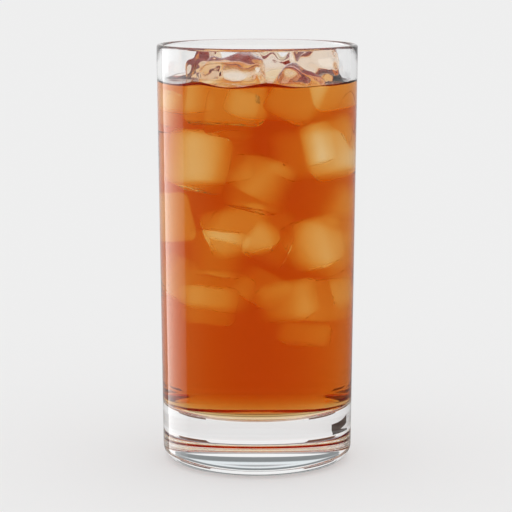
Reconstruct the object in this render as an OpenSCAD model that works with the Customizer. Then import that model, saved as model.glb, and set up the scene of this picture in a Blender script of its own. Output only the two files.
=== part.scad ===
// Straight highball glass of iced tea: a heavy-based tumbler, the tea in it,
// and the ice cubes that break the tea's surface.
// Millimetres, +Z up. The origin is the centre of the foot ring, on the table.

/* [Glass] */
// Overall height of the glass
glass_h = 148; // [120:1:180]
// Outer diameter at the rim
rim_d = 70.5; // [58:0.5:86]
// Outer diameter of the solid base, above the rounded heel
base_d = 67.5; // [56:0.5:82]
// Wall thickness at the rim
wall_rim = 2.1; // [1.6:0.1:3.5]
// Wall thickness where the wall meets the base
wall_foot = 3; // [2.2:0.1:5]
// Thickness of the solid base, from the table to the inner floor
base_t = 19.5; // [12:0.5:26]
// Radius of the rounded heel around the base
heel_r = 5; // [3:0.5:8]
// Radius of the rounded corner between inner wall and inner floor
floor_r = 3.5; // [2:0.5:10]

/* [Foot] */
// Width of the flat ring that the glass stands on
ring_w = 2.4; // [1.5:0.1:4]
// Height of the hollow under the base, at its centre
punt_h = 2.4; // [1:0.1:4]

/* [Tea] */
// Free height between the tea's level and the rim
headspace = 13.4; // [10:0.1:20]
// Height that the tea climbs at the wall
meniscus_h = 1.1; // [0.5:0.1:2]
// Width of the climbing edge
meniscus_w = 2.2; // [1:0.1:4]
// Clearance between the tea and the glass wall
tea_gap = 0.05; // [0.02:0.01:0.3]

/* [Ice] */
// Clearance between the floating ice and the glass wall
ice_gap = 0.8; // [0.4:0.1:2]
// Radius of a cube's melted edges
ice_round = 2.6; // [2:0.1:3.4]
// How uneven the cubes are, as the most that one corner is drawn in
ice_uneven = 1.6; // [1.2:0.1:2]

/* [Hidden] */

round_fn = 96;  // segments of the turned surfaces
ice_fn = 20;    // segments of a cube's rounded corners
arc_steps = 10; // straight steps in each rounded stretch of an outline

glass_colour = [0.86, 0.92, 0.93, 0.35];
tea_colour = [0.78, 0.36, 0.06, 0.85];
ice_colour = [0.94, 0.88, 0.80, 0.6];

rim_r = rim_d / 2;
base_r = base_d / 2;
lip_r = wall_rim / 2;
ring_out_r = base_r - heel_r;
ring_in_r = ring_out_r - ring_w;
tea_z = glass_h - headspace;

// Radius of the outer wall at height z: it widens evenly from the heel to the rim.
function outer_r(z) = base_r + (rim_r - base_r) * (z - heel_r) / (glass_h - lip_r - heel_r);

bore_low_z = base_t + floor_r;
bore_low_r = outer_r(bore_low_z) - wall_foot;
bore_top_z = glass_h - lip_r;
bore_top_r = rim_r - wall_rim;

// Radius of the bore at height z, above the rounded inner corner.
function bore_r(z) =
    bore_low_r + (bore_top_r - bore_low_r) * (z - bore_low_z) / (bore_top_z - bore_low_z);

// Points of an arc about [x, z], from angle a to angle b, both ends included.
function arc(x, z, r, a, b, steps = arc_steps) =
    [for (i = [0:steps]) let (t = a + (b - a) * i / steps) [x + r * cos(t), z + r * sin(t)]];

// The hollow under the base: a shallow spherical dome over the ring's inner edge.
punt_r = (ring_in_r * ring_in_r + punt_h * punt_h) / (2 * punt_h);
punt_half = asin(ring_in_r / punt_r);
function punt_outline() = arc(0, punt_h - punt_r, punt_r, 90, 90 - punt_half);

// The rounded corner where the bore meets the inner floor, drawn in from the wall by gap.
function floor_corner(gap) =
    arc(bore_low_r - floor_r, bore_low_z - gap, floor_r - gap, 0, -90);

module glass() {
    color(glass_colour)
        rotate_extrude($fn = round_fn)
            polygon(concat(
                punt_outline(),
                arc(ring_out_r, heel_r, heel_r, -90, 0),
                arc(rim_r - lip_r, glass_h - lip_r, lip_r, 0, 180),
                floor_corner(0),
                [[0, base_t]]
            ));
}

// The tea up to its level, with the raised edge where it clings to the wall.
module tea_body() {
    wall_r = bore_r(tea_z + meniscus_h) - tea_gap;
    rise = concat(
        [[0, tea_z]],
        [for (i = [0:arc_steps])
            let (t = 90 * i / arc_steps)
            [wall_r - meniscus_w * (1 - sin(t)), tea_z + meniscus_h * (1 - cos(t))]]
    );
    rotate_extrude($fn = round_fn)
        polygon(concat(
            rise,
            floor_corner(tea_gap),
            [[0, base_t]]
        ));
}

// The floating cubes fill the bore: their edge and their places follow its radius.
layer_reach = 1.36; // reach of the floating cubes from the axis, in edges
layer_depth = rim_r; // how far the cubes may hang down into the tea
layer_r = min(bore_r(tea_z), bore_r(tea_z - layer_depth)) - ice_gap;
ice_edge = layer_r / layer_reach;

// Each cube's centre [x, y, z], from the axis and the tea's level, in edges;
// its turns about X, Y and Z in degrees; its sides in edges; and its unevenness seed.
ice_places = [
    [[-0.77, 0.66, -0.08], [8, -10, 38], [0.60, 0.66, 0.86], 1],
    [[0.23, 0.89, -0.14], [-11, 5, -10], [1.02, 0.64, 0.96], 2],
    [[-0.38, -0.22, -0.10], [2, 3, -6], [1.06, 0.90, 1], 3],
    [[0.92, 0.08, 0.02], [-7, -9, 8], [0.78, 0.76, 0.92], 4],
    [[0.51, -0.74, -0.10], [6, 30, -6], [0.74, 0.60, 0.9], 5],
    [[-0.36, -0.98, -0.36], [-6, 10, -12], [0.80, 0.44, 0.8], 6]
];

// A repeatable number from -1 to 1, different for every seed and k.
function wobble(seed, k) = sin(seed * 137 + k * 71 + seed * k * 23);

// One corner of a cube, drawn in towards the middle by its own amount on each axis.
function corner(side, seed, signs) =
    let (k = signs * [4, 2, 1])
    [for (i = [0:2])
        signs[i] * (side[i] * ice_edge / 2 - ice_round - ice_uneven * abs(wobble(seed, k + 11 * i)))];

// A half-melted ice cube, at its place in the floating layer.
module ice_cube(i) {
    place = ice_places[i][0];
    turn = ice_places[i][1];
    side = ice_places[i][2];
    seed = ice_places[i][3];
    translate(place * ice_edge + [0, 0, tea_z])
        rotate(turn)
            hull()
                for (sx = [-1, 1], sy = [-1, 1], sz = [-1, 1])
                    translate(corner(side, seed, [sx, sy, sz]))
                        sphere(r = ice_round, $fn = ice_fn);
}

module ice(i) {
    color(ice_colour) ice_cube(i);
}

// The tea closes round every cube that floats in it.
module tea() {
    color(tea_colour)
        difference() {
            tea_body();
            for (i = [0:len(ice_places) - 1]) ice_cube(i);
        }
}

glass();
tea();
ice(0);  // ice_left
ice(1);  // ice_back
ice(2);  // ice_middle
ice(3);  // ice_right
ice(4);  // ice_front
ice(5);  // ice_near
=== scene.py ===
"""Looks of a tall tumbler of iced tea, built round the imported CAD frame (metres, +Z up)."""
import math

import bmesh
import bpy
import numpy as np
from mathutils import Matrix, Vector, noise
from mathutils.bvhtree import BVHTree


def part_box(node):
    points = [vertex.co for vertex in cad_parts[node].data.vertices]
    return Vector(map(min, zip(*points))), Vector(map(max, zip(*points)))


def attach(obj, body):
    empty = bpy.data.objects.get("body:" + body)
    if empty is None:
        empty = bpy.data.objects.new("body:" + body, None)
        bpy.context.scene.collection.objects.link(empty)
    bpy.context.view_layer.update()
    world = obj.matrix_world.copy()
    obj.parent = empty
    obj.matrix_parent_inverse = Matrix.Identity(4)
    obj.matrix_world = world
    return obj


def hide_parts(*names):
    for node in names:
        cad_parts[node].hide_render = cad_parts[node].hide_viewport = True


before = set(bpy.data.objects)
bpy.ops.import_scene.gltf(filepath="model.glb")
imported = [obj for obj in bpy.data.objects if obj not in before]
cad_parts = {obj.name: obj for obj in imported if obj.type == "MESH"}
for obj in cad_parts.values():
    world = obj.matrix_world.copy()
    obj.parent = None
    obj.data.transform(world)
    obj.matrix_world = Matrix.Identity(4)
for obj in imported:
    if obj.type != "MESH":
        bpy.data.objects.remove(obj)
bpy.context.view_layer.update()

MM = 0.001

# ---- Sizes of the glass and the tea, read from the frame where the frame has them ----
glass_lo, glass_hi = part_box("glass")
tea_lo, tea_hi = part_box("tea")
GLASS_H = glass_hi.z
RIM_R = (glass_hi.x - glass_lo.x) / 2
BASE_R = 33.75 * MM      # radius of the base above its rounded heel
HEEL_R = 5 * MM          # radius of the rounded heel
RING_W = 2.4 * MM        # width of the flat ring that the glass stands on
PUNT_H = 2.4 * MM        # height of the hollow under the base
WALL_RIM = 2.1 * MM      # wall thickness at the rim
WALL_FOOT = 3 * MM       # wall thickness above the base
FLOOR_R = 3.5 * MM       # rounded corner between bore and inner floor
BASE_T = tea_lo.z        # thickness of the solid base
MENISCUS_H = 1.1 * MM    # how far the tea climbs at the wall
LEVEL = tea_hi.z - MENISCUS_H

TURN_STEPS = 192         # segments round the glass
INTO_WALL = 0.1 * MM     # how far the tea reaches into the glass, so that no air gap shows
INTO_TEA = 0.04 * MM     # how far each ice cube reaches past its hollow in the tea

IOR_GLASS = 1.5
IOR_TEA = 1.333
IOR_ICE = 1.31
IOR_GLASS_WET = IOR_GLASS / IOR_TEA   # glass against tea
IOR_ICE_WET = 1.007                   # ice against tea, set below the physical 1.018

LIP_R = WALL_RIM / 2


def outer_r(z):
    return BASE_R + (RIM_R - BASE_R) * (z - HEEL_R) / (GLASS_H - LIP_R - HEEL_R)


BORE_LOW_Z = BASE_T + FLOOR_R
BORE_LOW_R = outer_r(BORE_LOW_Z) - WALL_FOOT
BORE_TOP_Z = GLASS_H - LIP_R
BORE_TOP_R = RIM_R - WALL_RIM


def bore_r(z):
    share = (z - BORE_LOW_Z) / (BORE_TOP_Z - BORE_LOW_Z)
    return BORE_LOW_R + (BORE_TOP_R - BORE_LOW_R) * share


# The tea's edge is not level: it stands higher where a cube touches the wall.
# Each row is the angle from the front in degrees, the rise in mm, and the width in degrees.
EDGE_WAVES = (
    (-58, -0.35, 14), (-37, 1.1, 9), (-16, -0.6, 10), (6, 1.0, 9), (26, -0.55, 11),
    (47, -0.25, 12), (75, 0.3, 14), (105, -0.4, 15), (138, 0.7, 12), (170, -0.3, 14),
    (-90, 0.3, 13), (-122, 0.8, 13), (-150, -0.4, 13),
)


def edge_wave(angle):
    """Rise of the tea's edge at an angle in degrees, 0 at the front and 90 at +X."""
    rise = 0.0
    for centre, height, width in EDGE_WAVES:
        off = (angle - centre + 180) % 360 - 180
        rise += height * MM * math.exp(-((off / width) ** 2))
    return rise


def spin(step):
    """Angle from the front in degrees and the (x, y) direction of one step round the glass."""
    angle = 360 * step / TURN_STEPS
    return angle, Vector((math.sin(math.radians(angle)), -math.cos(math.radians(angle))))


def arc(cx, cz, r, a, b, steps):
    points = []
    for i in range(steps + 1):
        t = math.radians(a + (b - a) * i / steps)
        points.append((cx + r * math.cos(t), cz + r * math.sin(t)))
    return points


def new_object(name, bm):
    mesh = bpy.data.meshes.new(name)
    bm.to_mesh(mesh)
    bm.free()
    made = bpy.data.objects.new(name, mesh)
    bpy.context.scene.collection.objects.link(made)
    return made


def shade_smooth(obj):
    obj.data.polygons.foreach_set("use_smooth", [True] * len(obj.data.polygons))


def lathe(bm, rows):
    """Turns rows of (radius, height) functions of the step into a closed surface.
    A row with radius 0 becomes one point. Returns the faces between each pair of rows."""
    rings = []
    for row in rows:
        if row(0)[0] == 0:
            rings.append([bm.verts.new((0, 0, row(0)[1]))])
            continue
        ring = []
        for step in range(TURN_STEPS):
            r, z = row(step)
            direction = spin(step)[1]
            ring.append(bm.verts.new((direction.x * r, direction.y * r, z)))
        rings.append(ring)
    bands = []
    for low, high in zip(rings, rings[1:]):
        band = []
        for i in range(TURN_STEPS):
            j = (i + 1) % TURN_STEPS
            if len(low) == 1:
                corners = [low[0], high[j], high[i]]
            elif len(high) == 1:
                corners = [low[i], low[j], high[0]]
            else:
                corners = [low[i], low[j], high[j], high[i]]
            band.append(bm.faces.new(corners))
        bands.append(band)
    return bands


def fixed(r, z):
    return lambda step: (r, z)


# ---- Glass ----
def make_glass():
    ring_out = BASE_R - HEEL_R
    ring_in = ring_out - RING_W
    punt_r = (ring_in ** 2 + PUNT_H ** 2) / (2 * PUNT_H)
    half = math.degrees(math.asin(ring_in / punt_r))
    outside = arc(0, PUNT_H - punt_r, punt_r, 90, 90 - half, 14)
    outside[0] = (0, PUNT_H)
    outside += arc(ring_out, HEEL_R, HEEL_R, -90, 0, 16)
    outside += [(outer_r(z), z) for z in np.linspace(HEEL_R, BORE_TOP_Z, 24)[1:-1]]
    outside += arc(RIM_R - LIP_R, BORE_TOP_Z, LIP_R, 0, 180, 14)
    rows = [fixed(r, z) for r, z in outside]

    contact = LEVEL + MENISCUS_H
    for z in np.linspace(BORE_TOP_Z, contact, 6)[1:-1]:
        rows.append(fixed(bore_r(z), z))

    def contact_row(step):
        z = contact + edge_wave(spin(step)[0])
        return bore_r(z), z
    rows.append(contact_row)
    first_wet = len(rows) - 1
    for z in np.linspace(contact, BORE_LOW_Z, 20)[1:-1]:
        rows.append(fixed(bore_r(z), z))
    corner = arc(BORE_LOW_R - FLOOR_R, BORE_LOW_Z, FLOOR_R, 0, -90, 12)
    rows += [fixed(r, z) for r, z in corner]
    floor_r = corner[-1][0]
    rows += [fixed(floor_r * share, BASE_T) for share in (0.8, 0.6, 0.4, 0.2)]
    rows.append(fixed(0, BASE_T))
    bm = bmesh.new()
    bands = lathe(bm, rows)
    for k, band in enumerate(bands):
        for face in band:
            face.material_index = int(k >= first_wet)
    bmesh.ops.recalc_face_normals(bm, faces=bm.faces)
    glass = new_object("glass_body", bm)
    shade_smooth(glass)
    return glass


# ---- Ice ----
WALL_GAP = 0.25 * MM     # least space between the ice and the glass
MELT_WIDE = 0.45 * MM    # depth of a cube's wide hollows
MELT_FINE = 0.1 * MM     # depth of its finer ripple
MELT_DENT = 1.5 * MM     # depth of the dents in the part that stands out of the tea
MELT_RISE = 4 * MM       # height above the tea over which the dents reach that depth


def melt(obj, seed):
    """Gives a floating cube its melted surface, deeper above the tea, and keeps it off the wall."""
    mesh = obj.data
    offset = Vector((seed * 7.3, seed * 3.1, seed * 5.7))
    moved = []
    for v in mesh.vertices:
        wide = noise.noise(v.co / (9 * MM) + offset)
        fine = noise.noise(v.co / (2.6 * MM) + offset * 2)
        dent = noise.noise(v.co / (5.5 * MM) + offset * 3) - 0.35
        out = min(1, max(0, (v.co.z - LEVEL) / MELT_RISE))
        shift = MELT_WIDE * wide + MELT_FINE * fine + MELT_DENT * out * min(0, dent)
        place = v.co + v.normal * shift
        limit = bore_r(place.z) - WALL_GAP
        reach = math.hypot(place.x, place.y)
        if reach > limit:
            place.x *= limit / reach
            place.y *= limit / reach
        moved.append(place)
    for v, co in zip(mesh.vertices, moved):
        v.co = co
    mesh.update()


def remeshed(name, source_mesh, voxel):
    """A new object with the source's shape in even small quads."""
    made = bpy.data.objects.new(name, source_mesh.copy())
    bpy.context.scene.collection.objects.link(made)
    remesh = made.modifiers.new("even", "REMESH")
    remesh.mode = "VOXEL"
    remesh.voxel_size = voxel
    smooth = made.modifiers.new("soft", "SMOOTH")
    smooth.factor = 0.5
    smooth.iterations = 4
    graph = bpy.context.evaluated_depsgraph_get()
    mesh = bpy.data.meshes.new_from_object(made.evaluated_get(graph))
    made.modifiers.clear()
    made.data = mesh
    mesh.name = name
    mesh.materials.clear()
    return made


CUBE_VOXEL = 0.6 * MM    # mesh size of the floating cubes
FLOATING = ("ice_left", "ice_back", "ice_middle", "ice_right", "ice_front", "ice_near")


def make_floating():
    made = []
    for seed, node in enumerate(FLOATING):
        cube = remeshed(node.replace("ice", "cube"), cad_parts[node].data, CUBE_VOXEL)
        melt(cube, seed + 1)
        shade_smooth(cube)
        made.append(cube)
    return made


# Sunk cubes: centre in mm, from the axis and the table; turns in degrees; sides in mm.
SUNK = (
    # just under the surface
    ((-27, -6, 122), (4, 12, 10), (8, 14, 13)),
    ((25, -12, 124), (10, -8, -28), (9, 10, 14)),
    ((2, -15, 104), (-4, 13, -28), (19, 17, 19)),
    ((21, 1, 111), (10, -14, 15), (18, 20, 21)),
    ((-22, -5, 110), (5, 8, 12), (16, 20, 21)),
    ((-5, 20, 107), (-12, 4, 30), (19, 17, 19)),
    ((-2, 2, 107), (20, 30, 50), (13, 14, 14)),
    ((13, 19, 106), (12, -8, 20), (16, 14, 18)),
    # the middle of the glass
    ((-23, -2, 89), (-6, -10, -8), (13, 18, 18)),
    ((3, -21, 83), (20, 30, 10), (15, 11, 12)),
    ((-10, -13, 80), (-8, 10, 24), (17, 16, 17)),
    ((17, -11, 79), (10, -14, -22), (17, 17, 18)),
    ((-8, 7, 84), (8, -16, -10), (17, 17, 17)),
    ((11, 9, 84), (8, 20, -12), (17, 16, 18)),
    ((25, 3, 92), (30, 14, 40), (10, 12, 14)),
    ((-6, 24, 81), (10, 24, 4), (16, 12, 16)),
    # the lowest cubes
    ((-14, -14, 58), (-10, 6, 14), (18, 14, 14)),
    ((9, -16, 61), (8, -8, -16), (18, 14, 13)),
    ((14, -10, 48), (4, 10, 20), (17, 14, 8)),
    ((26, -3, 62), (24, -14, 10), (9, 11, 13)),
    ((-25, 3, 69), (14, 20, 24), (10, 13, 15)),
    ((-1, -1, 64), (14, 32, 28), (14, 13, 12)),
    ((14, 13, 64), (-8, -10, -34), (16, 16, 16)),
    ((-9, 15, 60), (5, 10, 12), (17, 15, 14)),
)
CUBE_STEPS = 20        # quads along a cube's side
CUBE_ROUND = 0.34      # rounded share of a cube's half side
CUBE_GAP = 0.4 * MM    # least space that settling leaves round a sunk cube
SUNK_TOP = LEVEL - 2 * MM      # height above which settling pushes a sunk cube down
SUNK_LOW = BASE_T + 20 * MM    # height below which settling pushes a sunk cube up
SETTLE_PASSES = 160            # most passes of settling
SETTLED_TO = 0.02 * MM         # settling ends early when no push in a pass is longer than this
BOX_INSET = 1 - 0.42 * CUBE_ROUND      # share of a box's corner that its rounded cube reaches


def turned(turn):
    rotation = Matrix.Identity(3)
    for angle, axis in zip(turn, "XYZ"):
        rotation = Matrix.Rotation(math.radians(angle), 3, axis) @ rotation
    return rotation


def push_apart(points_a, axes_a, points_b, axes_b):
    """The shortest move that takes convex a clear of convex b, or None if they are clear."""
    axes = [*axes_a, *axes_b]
    axes += [np.cross(p, q) for p in axes_a for q in axes_b]
    best = None
    for axis in axes:
        length = np.linalg.norm(axis)
        if length < 1e-6:
            continue
        axis = axis / length
        a, b = points_a @ axis, points_b @ axis
        up, down = b.max() - a.min() + CUBE_GAP, a.max() - b.min() + CUBE_GAP
        if up <= 0 or down <= 0:
            return None
        depth = up if up < down else -down
        if best is None or abs(depth) < np.linalg.norm(best):
            best = depth * axis
    return best


def settled(floating):
    """The sunk cubes' centres and turns, after pushing them off the wall, the floating ice and each
    other. It can reach its last pass before every push is short, so a gap can be under CUBE_GAP."""
    fixed_ice = []
    for cube in floating:
        points = np.array([v.co for v in cube.data.vertices])[::25]
        spread = np.linalg.svd(points - points.mean(0), full_matrices=False)[2]
        fixed_ice.append((points, list(spread)))
    corners = np.array([(x, y, z) for x in (-1, 1) for y in (-1, 1) for z in (-1, 1)])
    centres = [np.array(place) * MM for place, turn, side in SUNK]
    frames = [np.array(turned(turn)) for place, turn, side in SUNK]
    shapes = []
    for (place, turn, side), rotation in zip(SUNK, frames):
        shapes.append((corners * np.array(side) * MM / 2) @ rotation.T)
    for _ in range(SETTLE_PASSES):
        worst = 0.0
        for i, shape in enumerate(shapes):
            axes = list(frames[i].T)
            for points, other_axes in fixed_ice:
                move = push_apart(shape + centres[i], axes, points, other_axes)
                if move is not None:
                    centres[i] = centres[i] + move
                    worst = max(worst, np.linalg.norm(move))
            for j in range(i):
                reach = np.linalg.norm(shape[0]) + np.linalg.norm(shapes[j][0])
                if np.linalg.norm(centres[i] - centres[j]) > reach:
                    continue
                move = push_apart(shape + centres[i], axes, shapes[j] + centres[j],
                                  list(frames[j].T))
                if move is not None:
                    centres[i] = centres[i] + move / 2
                    centres[j] = centres[j] - move / 2
                    worst = max(worst, np.linalg.norm(move))
            points = shape * BOX_INSET + centres[i]
            reach = np.hypot(points[:, 0], points[:, 1])
            room = np.array([bore_r(z) for z in points[:, 2]]) - CUBE_GAP - reach
            k = int(room.argmin())
            if room[k] < 0:
                centres[i][:2] += points[k, :2] / reach[k] * room[k]
                worst = max(worst, -room[k])
            rise = max(0, SUNK_LOW - points[:, 2].min()) - max(0, points[:, 2].max() - SUNK_TOP)
            centres[i][2] += rise
            worst = max(worst, abs(rise))
        if worst < SETTLED_TO:
            break
    return centres, frames


def rounded_box(bm, centre, rotation, side, seed):
    """One melted cube, as a grid on each face pulled out to a rounded, uneven box."""
    grid = bmesh.new()
    bmesh.ops.create_cube(grid, size=2)
    bmesh.ops.subdivide_edges(grid, edges=grid.edges, cuts=CUBE_STEPS - 1, use_grid_fill=True)
    half = Vector(side) * MM / 2
    offset = Vector((seed * 4.7, seed * 9.1, seed * 2.3))
    core = 1 - CUBE_ROUND
    for v in grid.verts:
        inner = Vector([max(-core, min(core, c)) for c in v.co])
        out = v.co - inner
        point = inner + out.normalized() * CUBE_ROUND
        pull = noise.noise(Vector([math.copysign(1.0, c) for c in inner]) * 0.7 + offset)
        point *= 0.97 - 0.09 * abs(pull)
        v.co = Vector([point[k] * half[k] for k in range(3)])
    grid.normal_update()
    for v in grid.verts:
        wide = noise.noise(v.co / (8 * MM) + offset)
        fine = noise.noise(v.co / (2.6 * MM) + offset)
        v.co = v.co + v.normal * (0.35 * MM * wide + 0.08 * MM * fine)
    taper = 0.16 * noise.noise(offset)
    for v in grid.verts:
        share = 1 - abs(taper) + taper * v.co.z / half.z
        v.co.x *= share
        v.co.y *= share
    turn = Matrix(rotation.tolist())
    for v in grid.verts:
        v.co = turn @ v.co + Vector(centre)
    mesh = bpy.data.meshes.new("grid")
    grid.to_mesh(mesh)
    grid.free()
    bm.from_mesh(mesh)
    bpy.data.meshes.remove(mesh)


def make_sunk(sunk_places):
    bm = bmesh.new()
    centres, frames = sunk_places
    for seed, ((place, turn, side), centre, rotation) in enumerate(zip(SUNK, centres, frames)):
        rounded_box(bm, centre, rotation, side, seed + 1)
    sunk = new_object("sunk_ice", bm)
    shade_smooth(sunk)
    return sunk


def shrunk_copy(obj, by):
    """A copy of a closed piece with its surface drawn in by a small distance."""
    mesh = obj.data.copy()
    moved = [v.co - v.normal * by for v in mesh.vertices]
    for v, co in zip(mesh.vertices, moved):
        v.co = co
    mesh.update()
    copy = bpy.data.objects.new(obj.name + "_hollow", mesh)
    bpy.context.scene.collection.objects.link(copy)
    return copy


# ---- Tea ----
CRUMB_FACES = 50         # a loose bit with fewer faces than this is a crumb left by cutting


def drop_crumbs(bm):
    """Clears away the slivers and the loose crumbs that cutting leaves."""
    bmesh.ops.triangulate(bm, faces=bm.faces)
    bmesh.ops.dissolve_degenerate(bm, dist=0.001 * MM, edges=bm.edges)
    bmesh.ops.triangulate(bm, faces=bm.faces)
    seen = set()
    crumbs = []
    for first in bm.faces:
        if first in seen:
            continue
        seen.add(first)
        part = [first]
        for face in part:
            for edge in face.edges:
                fresh = [other for other in edge.link_faces if other not in seen]
                seen.update(fresh)
                part += fresh
        if len(part) < CRUMB_FACES:
            crumbs += part
    bmesh.ops.delete(bm, geom=crumbs, context="FACES")
    wires = [edge for edge in bm.edges if not edge.link_faces]
    bmesh.ops.delete(bm, geom=wires, context="EDGES")


def make_tea(floating, sunk):
    trees = []
    for cube in floating:
        bm = bmesh.new()
        bm.from_mesh(cube.data)
        trees.append(BVHTree.FromBMesh(bm))
        bm.free()
    contact = LEVEL + MENISCUS_H

    def surface_z(x, y, wall_off, angle):
        z = LEVEL + MENISCUS_H * math.exp(-wall_off / (1.1 * MM))
        z += edge_wave(angle) * math.exp(-wall_off / (3.5 * MM))
        z += 0.12 * MM * noise.noise(Vector((x, y, 0)) / (9 * MM))
        climb = 0.0
        for tree in trees:
            hit = tree.find_nearest(Vector((x, y, LEVEL + 0.3 * MM)), 6 * MM)
            if hit[0] is not None:
                climb = max(climb, math.exp(-hit[3] / (0.9 * MM)))
        return z + 0.8 * MM * climb * (1 - math.exp(-wall_off / (2 * MM)))

    rows = [fixed(0, BASE_T - INTO_WALL)]
    corner = arc(BORE_LOW_R - FLOOR_R, BORE_LOW_Z, FLOOR_R + INTO_WALL, -90, 0, 12)
    rows += [fixed(corner[0][0] * share, BASE_T - INTO_WALL) for share in (0.3, 0.6, 0.8)]
    rows += [fixed(r, z) for r, z in corner]
    for z in np.linspace(BORE_LOW_Z, contact, 20)[1:-1]:
        rows.append(fixed(bore_r(z) + INTO_WALL, z))

    def edge_row(step):
        z = contact + edge_wave(spin(step)[0])
        return bore_r(z) + INTO_WALL, z
    rows.append(edge_row)
    wall_bands = len(rows) - 1

    def top_row(wall_off):
        def row(step):
            angle, direction = spin(step)
            r = bore_r(contact) - wall_off
            x, y = direction.x * r, direction.y * r
            return r, surface_z(x, y, wall_off, angle)
        return row
    offs = [0.1, 0.3, 0.55, 0.85, 1.2, 1.6, 2.1, 2.7, 3.4, 4.1, 4.8]
    while offs[-1] < 31:
        offs.append(offs[-1] + 0.75)
    rows += [top_row(off * MM) for off in offs]
    rows.append(fixed(0, surface_z(0, 0, bore_r(contact), 0)))
    bm = bmesh.new()
    lathe(bm, rows)
    bmesh.ops.recalc_face_normals(bm, faces=bm.faces)
    tea = new_object("tea_body", bm)
    cutters = [shrunk_copy(cube, INTO_TEA) for cube in floating]
    for cutter in cutters:
        cut = tea.modifiers.new("cut", "BOOLEAN")
        cut.operation = "DIFFERENCE"
        cut.solver = "MANIFOLD"
        cut.object = cutter
    graph = bpy.context.evaluated_depsgraph_get()
    mesh = bpy.data.meshes.new_from_object(tea.evaluated_get(graph))
    tea.modifiers.clear()
    tea.data = mesh
    mesh.materials.clear()
    mesh.polygons.foreach_set("material_index", [0] * len(mesh.polygons))
    for cutter in cutters:
        bpy.data.objects.remove(cutter)
    hollow = shrunk_copy(sunk, INTO_TEA)
    bm = bmesh.new()
    bm.from_mesh(mesh)
    drop_crumbs(bm)
    before = len(bm.faces)
    bm.from_mesh(hollow.data)
    bm.faces.ensure_lookup_table()
    bmesh.ops.reverse_faces(bm, faces=bm.faces[before:])
    bm.to_mesh(mesh)
    bm.free()
    bpy.data.objects.remove(hollow)

    def touches_ice(point):
        return any(tree.find_nearest(point, 1.5 * INTO_TEA)[0] is not None for tree in trees)

    air = mesh.attributes.new("air_side", "FLOAT", "FACE")
    values = np.zeros(len(mesh.polygons))
    for k, face in enumerate(mesh.polygons):
        c = face.center
        on_top = c.z > LEVEL - 0.8 * MM and face.normal.z > 0.15
        inside = math.hypot(c.x, c.y) < bore_r(c.z) + 0.5 * INTO_WALL
        values[k] = float(on_top and inside and k < before and not touches_ice(c))
    air.data.foreach_set("value", values)
    shade_smooth(tea)
    return tea


# ---- Materials ----
def material(name):
    made = bpy.data.materials.new(name)
    made.use_nodes = True
    tree = made.node_tree
    return made, tree, tree.nodes["Principled BSDF"]


def noise_ramp(tree, scale, low, high):
    """A noise between two values or colours, in the piece's own coordinates."""
    coord = tree.nodes.new("ShaderNodeTexCoord")
    tex = tree.nodes.new("ShaderNodeTexNoise")
    tex.inputs["Scale"].default_value = scale
    tex.inputs["Detail"].default_value = 3.0
    tree.links.new(coord.outputs["Object"], tex.inputs["Vector"])
    if isinstance(low, tuple):
        ramp = tree.nodes.new("ShaderNodeValToRGB")
        ramp.color_ramp.elements[0].color = (*low, 1)
        ramp.color_ramp.elements[1].color = (*high, 1)
        ramp.color_ramp.elements[0].position = 0.35
        ramp.color_ramp.elements[1].position = 0.65
        tree.links.new(tex.outputs["Fac"], ramp.inputs["Fac"])
        return ramp.outputs["Color"]
    spread = tree.nodes.new("ShaderNodeMapRange")
    spread.inputs["From Min"].default_value = 0.35
    spread.inputs["From Max"].default_value = 0.65
    spread.inputs["To Min"].default_value = low
    spread.inputs["To Max"].default_value = high
    tree.links.new(tex.outputs["Fac"], spread.inputs["Value"])
    return spread.outputs["Result"]


def clear_material(name, ior, pale, paler, rough=None):
    """A see-through material, tinted between two colours. rough is (scale, low, high)."""
    made, tree, shader = material(name)
    shader.inputs["Transmission Weight"].default_value = 1
    shader.inputs["IOR"].default_value = ior
    shader.inputs["Roughness"].default_value = 0
    tree.links.new(noise_ramp(tree, 40, pale, paler), shader.inputs["Base Color"])
    if rough:
        tree.links.new(noise_ramp(tree, *rough), shader.inputs["Roughness"])
    return made


TEA_COLOUR = (0.921, 0.609, 0.0)
TEA_DENSITY = 115


def tea_material():
    made = clear_material("tea", IOR_TEA, (0.996, 0.996, 0.996), (1, 1, 1))
    tree = made.node_tree
    shader = tree.nodes["Principled BSDF"]
    side = tree.nodes.new("ShaderNodeAttribute")
    side.attribute_name = "air_side"
    ior = tree.nodes.new("ShaderNodeMapRange")
    ior.inputs["To Min"].default_value = 1.0
    ior.inputs["To Max"].default_value = IOR_TEA
    tree.links.new(side.outputs["Fac"], ior.inputs["Value"])
    tree.links.new(ior.outputs["Result"], shader.inputs["IOR"])
    body = tree.nodes.new("ShaderNodeVolumeAbsorption")
    body.inputs["Color"].default_value = (*TEA_COLOUR, 1)
    body.inputs["Density"].default_value = TEA_DENSITY
    tree.links.new(body.outputs["Volume"], tree.nodes["Material Output"].inputs["Volume"])
    return made


glass = make_glass()
floating = make_floating()
sunk_places = settled(floating)
sunk = make_sunk(sunk_places)
tea = make_tea(floating, sunk)

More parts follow.
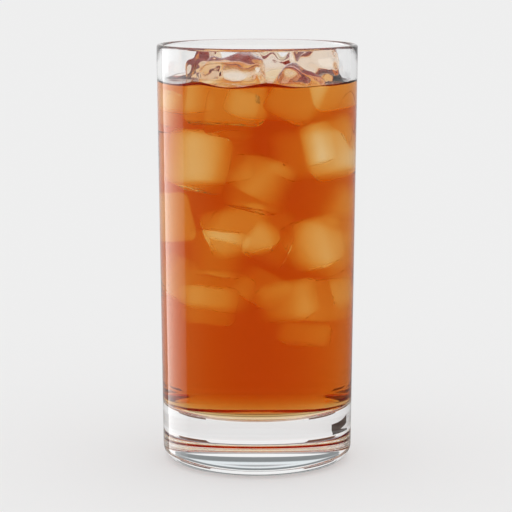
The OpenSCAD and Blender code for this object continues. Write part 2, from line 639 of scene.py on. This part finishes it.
GLASS_TINTS = ((0.993, 0.998, 0.996), (1, 1, 1))
ICE_TINTS = ((0.994, 0.997, 0.998), (1, 1, 1))
ICE_WET_TO = 0.75 * MM    # height above the level up to which the tea wets the floating cubes
glass.data.materials.append(clear_material("glass_dry", IOR_GLASS, *GLASS_TINTS))
glass.data.materials.append(clear_material("glass_wet", IOR_GLASS_WET, *GLASS_TINTS))
tea.data.materials.append(tea_material())
# Above the tea the ice is tinted amber to pale salmon. This is painted tea-coloured light, standing
# in for the tea seen through and mirrored in the cubes; the ice itself is clear.
ICE_DRY_PAINTED_TEA_LIGHT = ((0.9, 0.66, 0.45), (0.99, 0.9, 0.8))
ICE_DRY_ROUGH = (120, 0.0, 0.08)
ice_dry_painted_tea_light = clear_material("ice_dry_painted_tea_light", IOR_ICE, *ICE_DRY_PAINTED_TEA_LIGHT, rough=ICE_DRY_ROUGH)
ice_wet = clear_material("ice_wet", IOR_ICE_WET, *ICE_TINTS)
for cube in floating:
    cube.data.materials.append(ice_dry_painted_tea_light)
    cube.data.materials.append(ice_wet)
    for face in cube.data.polygons:
        face.material_index = int(face.center.z < LEVEL + ICE_WET_TO)
sunk.data.materials.append(ice_wet)

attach(glass, "root")
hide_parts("glass")
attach(tea, "root")
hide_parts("tea")
for cube, node in zip(floating, FLOATING):
    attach(cube, "root")
    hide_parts(node)
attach(sunk, "root")


# ---- Stage: a pale floor, soft light all round, and one tall soft light at the left ----
def plain_material(name, colour, strength=0.0, albedo=None):
    """A matt surface, or one that glows with a colour; albedo is for one that does both."""
    made, tree, shader = material(name)
    shader.inputs["Roughness"].default_value = 0.9
    shader.inputs["Specular IOR Level"].default_value = 0
    shader.inputs["Base Color"].default_value = (*colour, 1)
    if strength:
        shader.inputs["Base Color"].default_value = (albedo or 0, albedo or 0, albedo or 0, 1)
        shader.inputs["Emission Color"].default_value = (*colour, 1)
        shader.inputs["Emission Strength"].default_value = strength
    return made


def seen_only_by(obj, *kinds):
    for kind in ("camera", "diffuse", "glossy", "transmission", "shadow", "volume_scatter"):
        setattr(obj, "visible_" + kind, kind in kinds)


def card(name, centre, width, height, facing, made, *kinds):
    """A flat card or soft box that only some kinds of ray can see."""
    bm = bmesh.new()
    bmesh.ops.create_grid(bm, x_segments=1, y_segments=1, size=0.5)
    obj = new_object(name, bm)
    obj.data.materials.append(made)
    obj.scale = (width, height, 1)
    obj.location = centre
    obj.rotation_mode = "QUATERNION"
    obj.rotation_quaternion = Vector(facing).to_track_quat("Z", "Y")
    seen_only_by(obj, *kinds)
    return obj


def directed_glow(made, direction, reach, stops, tint=(1, 1, 1)):
    """Lets a material glow by the height of a point along a direction: (share, brightness) stops.
    The first two stops are the lowest and the highest."""
    tree = made.node_tree
    shader = tree.nodes["Principled BSDF"]
    coord = tree.nodes.new("ShaderNodeTexCoord")
    along = tree.nodes.new("ShaderNodeVectorMath")
    along.operation = "DOT_PRODUCT"
    along.inputs[1].default_value = Vector(direction).normalized()
    share = tree.nodes.new("ShaderNodeMapRange")
    share.inputs["From Min"].default_value = -reach
    share.inputs["From Max"].default_value = reach
    ramp = tree.nodes.new("ShaderNodeValToRGB")
    for k, (place, level) in enumerate(stops):
        stop = ramp.color_ramp.elements[k] if k < 2 else ramp.color_ramp.elements.new(place)
        stop.position = place
        stop.color = (level * tint[0], level * tint[1], level * tint[2], 1)
    tree.links.new(coord.outputs["Object"], along.inputs[0])
    tree.links.new(along.outputs["Value"], share.inputs["Value"])
    tree.links.new(share.outputs["Result"], ramp.inputs["Fac"])
    tree.links.new(ramp.outputs["Color"], shader.inputs["Emission Color"])


bm = bmesh.new()
bmesh.ops.create_circle(bm, cap_ends=True, segments=96, radius=12)
floor = new_object("floor", bm)
floor.location.z = -0.0002
floor.data.materials.append(plain_material("floor", (1, 1, 1), 0.44, 0.45))
floor.visible_glossy = False

# What the glass mirrors: dark in front and below, brighter behind, above and toward the left.
DOME_R = 5.0
bm = bmesh.new()
bmesh.ops.create_uvsphere(bm, u_segments=48, v_segments=24, radius=DOME_R)
dome = new_object("mirrored_room", bm)
room = plain_material("mirrored_room", (1, 1, 1), 1.0)
ROOM_LEVELS = ((0.35, 0.01), (0.82, 0.85), (0.55, 0.1), (0.7, 0.4))
directed_glow(room, (-0.25, 0.6, 0.76), DOME_R, ROOM_LEVELS)
dome.data.materials.append(room)
seen_only_by(dome, "glossy")

# What shows through the base: a wall behind, from 15 to 38 degrees up and dark up to 25, a low brown
# strip of painted shade close behind the glass at each side, and a dark strip of painted shade at
# the back left.
grey_wall = plain_material("grey_wall", (1, 1, 1), 1.0)
WALL_LEVELS = (
    (0.0, 0.25), (1.0, 0.9), (0.37, 0.24), (0.46, 0.85), (0.61, 0.85), (0.69, 0.42), (0.89, 0.42),
)
directed_glow(grey_wall, (0, 1, 0), 0.5, WALL_LEVELS, (0.94, 1.0, 1.03))
card("wall_behind", (0, 2, 1.055), 4.4, 1.01, (0, -1, 0), grey_wall, "transmission")
# Painted shade: low brown cards on the floor close behind the glass, seen only through it.
painted_brown_shade = plain_material("painted_brown_shade", (0.16, 0.085, 0.06), 1.0)
for side in (-1, 1):
    place = (side * 0.0085, 0.055, 0.0066)
    card("side_painted_shade", place, 0.011, 0.0042, (0, -1, 0), painted_brown_shade, "transmission")
# Painted shade: a dark card on the floor at the back left, seen only through the glass.
shade = plain_material("shade", (0.06, 0.045, 0.04), 1.0)
card("back_shade", (-0.0132, 0.047, 0.0016), 0.0175, 0.003, (0, -1, 0), shade, "transmission")

world = bpy.data.worlds.new("studio")
bpy.context.scene.world = world
world.use_nodes = True
world.node_tree.nodes["Background"].inputs["Color"].default_value = (1, 1, 1, 1)
world.node_tree.nodes["Background"].inputs["Strength"].default_value = 0.93

soft = plain_material("soft_box", (1, 1, 1), 3.0)
directed_glow(soft, (1, 0.5, 0), 0.65, ((0.05, 0.2), (0.8, 0.95), (0.45, 0.6)))
card("left_soft_box", (-0.73, 0.33, 0.1), 0.64, 0.9, (0.73, -0.33, 0), soft, "glossy")

CAMERA_DOWN = 9.2        # degrees that the camera looks down
cam_data = bpy.data.cameras.new("camera")
cam_data.lens = 137.0
cam_data.sensor_width = 36
camera = bpy.data.objects.new("camera", cam_data)
bpy.context.scene.collection.objects.link(camera)
camera.location = (-0.0004, -0.685, 0.1837)
camera.rotation_euler = (math.radians(90 - CAMERA_DOWN), 0, 0)
bpy.context.scene.camera = camera

scene = bpy.context.scene
scene.view_settings.view_transform = "Standard"
BOUNCES = 96             # enough for light to cross the glass, the tea and every cube on its way
scene.cycles.max_bounces = BOUNCES
scene.cycles.transmission_bounces = BOUNCES
scene.cycles.glossy_bounces = BOUNCES
scene.cycles.transparent_max_bounces = 24
